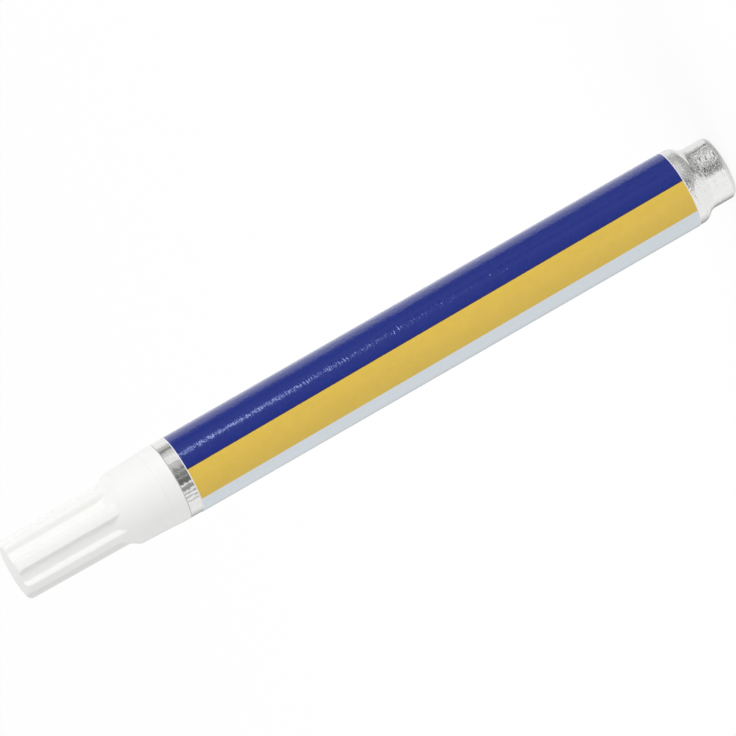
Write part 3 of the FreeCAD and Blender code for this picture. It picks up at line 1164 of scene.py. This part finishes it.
@dataclass(frozen=True)
class ReflectionScreen:
    """Round screen of pale and dark cards that only gloss sees, in millimetres.

    Its cards are coloured at a share of their brightness, which the gain makes up.
    """

    reach: float = 600.0
    low: float = -1300.0
    top: float = 700.0
    sides: int = 180
    split: float = -25.0
    split_soft: float = 12.0
    foot: Span = (-160.0, -340.0)
    base_top: Span = (1.0, 2.0)
    base_edge: Span = (150.0, 230.0)
    base_pale: Colour = grey(0.23)
    base_dark: Colour = grey(0.055)
    patches: Grain = Grain(0.016, 2.0, 0.6, span=(0.42, 0.54))
    patches_start: Span = (-112.0, -96.0)
    patches_end: Span = (14.0, 6.0)
    patch_soft: float = 25.0
    patch_shares: Span = (0.3, 0.92)
    patch_edge: float = 0.01
    patch_pale: Colour = grey(0.22)
    patch_dark: Colour = grey(0.0)
    gain: float = 4.0
    blue_share: float = 0.99

    def mesh(self) -> Object:
        """Builds the round wall and its base.

        Returns:
            The screen.
        """
        places: list[Place] = []
        for i in range(self.sides):
            angle = 2 * math.pi * i / self.sides
            x, y = self.reach * MM * math.cos(angle), self.reach * MM * math.sin(angle)
            places += [(x, y, self.low * MM), (x, y, self.top * MM)]
        count = len(places)
        faces: list[Face] = [(i, i + 1, (i + 3) % count, (i + 2) % count) for i in range(0, count, 2)]
        faces.append(tuple(range(0, count, 2)))
        return finished_mesh("reflection_screen", places, faces)

    def ramp(self, graph: Graph, share: Socket, zone: Reflection) -> Socket:
        """Brightness of the cards round the pen.

        Args:
            graph: Node tree of the screen.
            share: Angle as a share of the full turn.
            zone: Stops of the brightness.

        Returns:
            The ramp's colour.
        """
        ramp = graph.node("ValToRGB", {0: share})
        stops = ramp.color_ramp.elements
        while len(stops) < len(zone.value):
            stops.new(0.5)
        for stop, (angle, level) in zip(stops, zone.value):
            shown = level / self.gain
            stop.position = (angle + 180) / 360
            stop.color = (shown, shown, shown * self.blue_share, 1)
        return ramp.outputs[0]

    def cards(self, graph: Graph) -> Socket:
        """Lays out two heights of wall, its foot and the base, with patches on the shaded side.

        Args:
            graph: Node tree of the screen.

        Returns:
            Colour of the cards.
        """
        turn = graph.around()
        share = graph.ranged(turn, (-180, 180))
        zones = (Reflection.FOOT, Reflection.LOW, Reflection.HIGH)
        foot, low, high = (self.ramp(graph, share, zone) for zone in zones)
        wall = graph.mix(graph.ranged(graph.z, about(self.split, self.split_soft)), low, high)
        wall = graph.mix(graph.ranged(graph.z, self.foot), wall, foot)
        base = graph.mix(graph.ranged(graph.x, self.base_edge), self.base_pale, self.base_dark)
        above = (self.low + self.base_top[0], self.low + self.base_top[1])
        cards = graph.mix(graph.ranged(graph.z, above), base, wall)
        shaded = graph.math("MULTIPLY", graph.ranged(turn, self.patches_start),
                            graph.ranged(turn, self.patches_end))
        fall = (self.split + self.patch_soft, self.split - self.patch_soft)
        shaded = graph.math("MULTIPLY", shaded, graph.ranged(graph.z, fall, self.patch_shares))
        patch = graph.ranged(graph.noise(self.patches), self.patches.span, (-1.0, 1.0))
        patch = graph.math("MULTIPLY", patch, shaded)
        tone = graph.mix(graph.ranged(patch, about(0.0, self.patch_edge)), self.patch_dark, self.patch_pale)
        return graph.mix(graph.math("ABSOLUTE", patch), cards, tone)

    def place(self) -> None:
        """Sets the screen up where only gloss sees it."""
        screen = self.mesh()
        graph = Graph("screen_cards")
        light = graph.node("Emission", {"Color": self.cards(graph), "Strength": self.gain})
        screen.data.materials.append(graph.surface(light))
        screen.visible_camera = screen.visible_diffuse = screen.visible_transmission = False
        screen.visible_shadow = screen.visible_volume_scatter = False


@dataclass
class Studio:
    """Pale floor, even ambient light, soft lamps, reflection screen and camera."""

    target: Place = (0.0, 0.0, VIEW_Z)
    distance: float = 1.7
    elevation: float = 10.1
    roll: float = -119.85
    lens: float = 468.0
    sensor: float = 36.0
    clip: Span = (0.05, 50.0)
    ambient: float = 0.77
    floor_reach: float = 8.0
    floor_drop: float = 2e-5
    paper: Colour = grey(0.84)
    seen_paper: Colour = grey(0.3)
    seen_light: float = 0.755
    screen: ReflectionScreen = ReflectionScreen()
    lamps: tuple[Lamp, ...] = (
        Lamp("key", Job.LIGHT, angle=-38.0, reach=1.1, height=0.1, size=(0.7, 0.18), power=4.2),
        Lamp("side", Job.LIGHT, angle=118.0, reach=1.1, height=0.13, size=(0.5, 0.24), power=1.9),
        Lamp("cap_back", Job.LIGHT, angle=-170.0, reach=0.75, height=0.95, size=(0.5, 0.5), power=2.75,
             pieces=("cap_moulding",)),
        Lamp("film_key", Job.GLOSS, angle=-51.5, reach=0.25, height=0.0675, size=(0.034, 0.035),
             power=0.0897239, aim=0.0675, pieces=("wrap_film",), tint=(0.56, 0.68, 1.0)),
        Lamp("film_top", Job.GLOSS, angle=-141.5, reach=0.42, height=-0.05, size=(0.6, 0.9),
             power=1.357168, aim=-0.05, pieces=("wrap_film",)),
    )

    def camera(self) -> None:
        """Places the camera at the photograph's angle."""
        data = bpy.data.cameras.new("view")
        data.lens = self.lens
        data.sensor_width = self.sensor
        data.clip_start, data.clip_end = self.clip
        view = bpy.data.objects.new("view", data)
        bpy.context.scene.collection.objects.link(view)
        tilt, roll = math.radians(self.elevation), math.radians(self.roll)
        back = Vector((0, -math.cos(tilt), math.sin(tilt)))
        level, rise = Vector((1, 0, 0)), Vector((0, math.sin(tilt), math.cos(tilt)))
        right = level * math.cos(roll) + rise * math.sin(roll)
        up = rise * math.cos(roll) - level * math.sin(roll)
        turn = Matrix((right, up, back)).transposed().to_4x4()
        view.matrix_world = Matrix.Translation(Vector(self.target) + back * self.distance) @ turn
        bpy.context.scene.camera = view

    def world(self) -> None:
        """Sets even ambient light that is white where the camera, gloss or clear pieces see it."""
        world = bpy.data.worlds.new("studio")
        bpy.context.scene.world = world
        world.use_nodes = True
        tree = world.node_tree
        path = tree.nodes.new("ShaderNodeLightPath")
        seen = path.outputs["Is Camera Ray"]
        for ray in ("Is Glossy Ray", "Is Transmission Ray"):
            either = tree.nodes.new("ShaderNodeMath")
            either.operation = "MAXIMUM"
            tree.links.new(seen, either.inputs[0])
            tree.links.new(path.outputs[ray], either.inputs[1])
            seen = either.outputs[0]
        level = tree.nodes.new("ShaderNodeMapRange")
        level.inputs[3].default_value = self.ambient
        level.inputs[4].default_value = 1.0
        tree.links.new(seen, level.inputs[0])
        sky = tree.nodes["Background"]
        sky.inputs["Color"].default_value = grey(1.0)
        tree.links.new(level.outputs[0], sky.inputs["Strength"])

    def floor(self) -> None:
        """Lays a pale floor that keeps the pen's soft shadow."""
        far, low = self.floor_reach, -self.floor_drop
        corners = [(-far, -far, low), (far, -far, low), (far, far, low), (-far, far, low)]
        floor = finished_mesh("floor", corners, [(0, 1, 2, 3)])
        graph = Graph("floor_paper")
        paper = graph.node("BsdfDiffuse", {"Color": self.paper})
        faint = graph.node("BsdfDiffuse", {"Color": self.seen_paper})
        light = graph.node("Emission", {"Strength": self.seen_light})
        seen = graph.node("AddShader", {0: faint.outputs[0], 1: light.outputs[0]})
        camera_ray = graph.node("LightPath", {}).outputs["Is Camera Ray"]
        pick = graph.node("MixShader", {0: camera_ray, 1: paper.outputs[0], 2: seen.outputs[0]})
        floor.data.materials.append(graph.surface(pick))
        floor.visible_glossy = False

    def build(self) -> None:
        """Sets up the picture."""
        bpy.context.scene.view_settings.view_transform = "Standard"
        self.camera()
        self.world()
        for lamp in self.lamps:
            lamp.place()
        self.floor()
        self.screen.place()


def main() -> None:
    """Builds every sub-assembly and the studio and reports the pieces."""
    logging.basicConfig(level=logging.INFO, format="%(message)s")
    for part in (Cap(), Barrel(), Wrap(), NibHolder(), Nib(), TipValve()):
        for piece in part.build():
            LOG.info("%s: %d faces", piece.name, len(piece.data.polygons))
    Studio().build()


if __name__ == "__main__":
    main()
